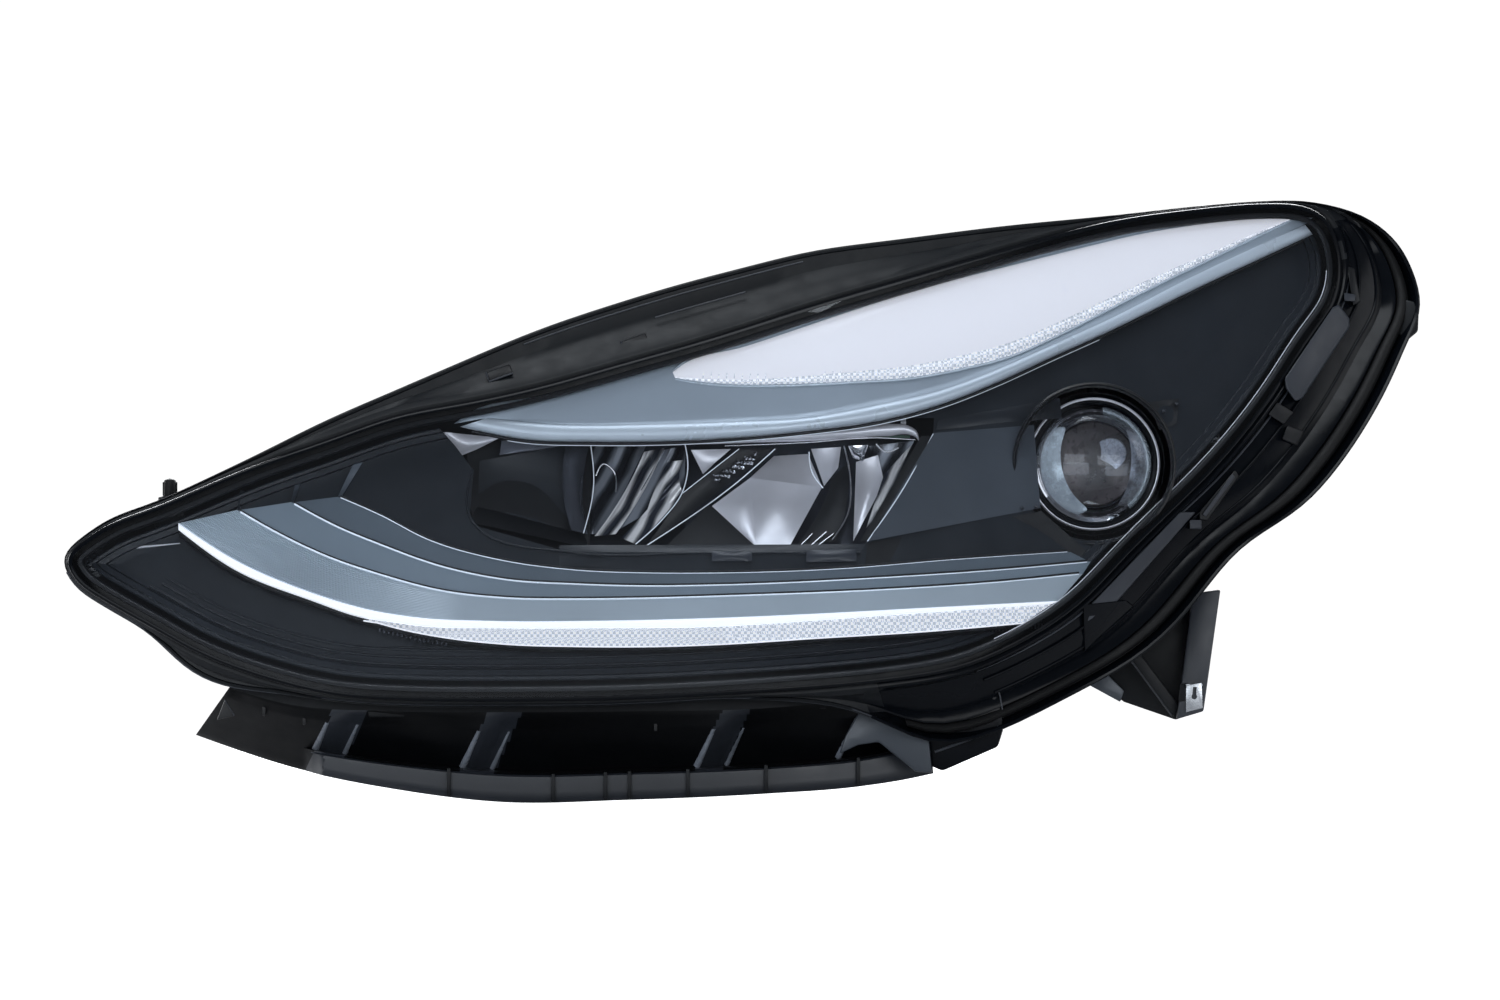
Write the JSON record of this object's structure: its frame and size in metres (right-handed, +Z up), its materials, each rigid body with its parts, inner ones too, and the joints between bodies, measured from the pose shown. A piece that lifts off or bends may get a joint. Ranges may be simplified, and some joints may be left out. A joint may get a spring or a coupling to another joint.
{
  "type": "car headlight assembly",
  "caption": "Swept wrap-around car headlight with clear lens, day-running light bar, aimable reflectors and projector, rear service port, driver unit and mounting ears.",
  "frame": {"origin": "centre of the pad on top of the upper mounting ear", "axes": "-Y is the way the lamp shines, +Z up, +X outboard towards the wing; the lamp is the one on the vehicle's left side"},
  "size_m": [0.6813, 0.3095, 0.3021],
  "materials": {
    "black_plastic": "satin moulded black",
    "gloss_black": "gloss black",
    "satin_blade": "satin blue-grey paint",
    "clear_lens": "clear hard-coated",
    "white_panel": "satin white diffuser",
    "light_guide": "frosted clear",
    "chrome": "vacuum-metallised mirror",
    "glass": "polished clear",
    "aluminium": "die-cast",
    "steel": "zinc-plated",
    "rubber": "matt black",
    "white_nylon": "natural",
    "board": "green solder mask"
  },
  "bodies": {
    "lamp_body": {"housing": "black_plastic", "outer_lens": "clear_lens", "lens_border": "gloss_black", "lens_seal": "rubber", "fender_seal": "rubber", "inner_bezel": "black_plastic", "upper_blade": "satin_blade", "upper_light_panel": "white_panel", "stepped_fin": "satin_blade", "drl_light_guide": "light_guide", "drl_led_board": "board", "level_motor": "black_plastic", "turn_reflector": "chrome", "pivot_pin_inner": "steel", "pivot_pin_outer": "steel", "control_unit_gasket": "rubber", "control_unit": "aluminium", "main_connector": "black_plastic", "vent_cap_inner": "rubber", "vent_cap_outer": "rubber", "lower_skirt": "black_plastic", "skirt_screw_inner": "steel", "skirt_screw_outer": "steel", "side_bracket": "black_plastic", "clip_nut": "steel", "bumper_stop": "rubber", "bracket_screw": "steel", "locating_pin": "rubber"},
    "aiming_carrier": {"aim_frame": "black_plastic", "reflector_frame": "chrome", "reflector_inner": "chrome", "reflector_middle": "chrome", "reflector_outer": "chrome", "reflector_led_board": "board", "reflector_heat_sink": "aluminium", "vertical_aim_nut": "white_nylon"},
    "projector_module": {"projector_lens": "glass", "projector_lens_ring": "chrome", "projector_barrel": "black_plastic", "projector_reflector": "chrome", "projector_led_board": "board", "projector_heat_sink": "aluminium", "fan_frame": "black_plastic", "shutter_shaft": "steel", "shutter_solenoid": "steel", "horizontal_aim_nut": "white_nylon"},
    "cutoff_shutter": {"shutter_flap": "steel"},
    "shutter_plunger": {"solenoid_plunger": "steel"},
    "cooling_fan": {"fan_rotor": "black_plastic"},
    "vertical_adjuster": {"vertical_aim_screw": "steel"},
    "horizontal_adjuster": {"horizontal_aim_screw": "steel"},
    "levelling_rod": {"level_plunger": "white_nylon"},
    "port_gasket": {"service_cap_gasket": "rubber"},
    "port_cover": {"service_cap": "black_plastic"},
    "socket_seal": {"bulb_socket_seal": "rubber"},
    "turn_lamp": {"bulb_socket": "black_plastic", "turn_bulb": "glass"}
  },
  "joints": [
    {"name": "headlamp_pitch", "type": "hinge", "parent": "lamp_body", "child": "aiming_carrier", "pos_m": [0, -0.0545, -0.076], "axis": [1, 0, 0], "range_deg": [-2.5, 2.5]},
    {"name": "projector_swivel", "type": "hinge", "parent": "aiming_carrier", "child": "projector_module", "pos_m": [0.172, -0.0545, -0.088], "axis": [0, 0, 1], "range_deg": [-3, 3]},
    {"name": "shutter_tilt", "type": "hinge", "parent": "projector_module", "child": "cutoff_shutter", "pos_m": [0.172, -0.035, -0.11], "axis": [1, 0, 0], "range_deg": [0, 60], "stiffness_Nm_per_rad": 0.01, "springref_deg": -22.92},
    {"name": "solenoid_stroke", "type": "slide", "parent": "projector_module", "child": "shutter_plunger", "axis": [0, -1, 0], "range_m": [0, 0.0036]},
    {"name": "fan_spin", "type": "hinge", "parent": "projector_module", "child": "cooling_fan", "pos_m": [0.172, 0.046, -0.088], "axis": [0, 1, 0], "continuous": true},
    {"name": "vertical_screw_turn", "type": "hinge", "parent": "lamp_body", "child": "vertical_adjuster", "pos_m": [0.02, 0.019, -0.154], "axis": [0, 1, 0], "range_deg": [-830, 830]},
    {"name": "horizontal_screw_turn", "type": "hinge", "parent": "aiming_carrier", "child": "horizontal_adjuster", "pos_m": [0.11, -0.055, -0.084], "axis": [0, 1, 0], "range_deg": [-800, 800]},
    {"name": "levelling_stroke", "type": "slide", "parent": "lamp_body", "child": "levelling_rod", "axis": [0, 1, 0], "range_m": [-0.0035, 0.0035]},
    {"name": "port_gasket_lift", "type": "slide", "parent": "lamp_body", "child": "port_gasket", "axis": [0, 1, 0], "range_m": [0, 0.06]},
    {"name": "port_cover_twist", "type": "hinge", "parent": "port_gasket", "child": "port_cover", "pos_m": [0.172, 0.089, -0.088], "axis": [0, 1, 0], "range_deg": [-30, 0]},
    {"name": "socket_seal_withdraw", "type": "slide", "parent": "lamp_body", "child": "socket_seal", "axis": [0, 1, 0], "range_m": [0, 0.07]},
    {"name": "turn_lamp_twist", "type": "hinge", "parent": "socket_seal", "child": "turn_lamp", "pos_m": [0.06, 0.041, -0.044], "axis": [0, 1, 0], "range_deg": [-45, 0]}
  ],
  "couplings": [
    {"joint": "vertical_screw_turn", "follows": "headlamp_pitch", "ratio": -326.7},
    {"joint": "levelling_stroke", "follows": "headlamp_pitch", "m_per_rad": 0.072},
    {"joint": "horizontal_screw_turn", "follows": "projector_swivel", "ratio": 259.7},
    {"joint": "solenoid_stroke", "follows": "shutter_tilt", "m_per_rad": 0.00334}
  ]
}
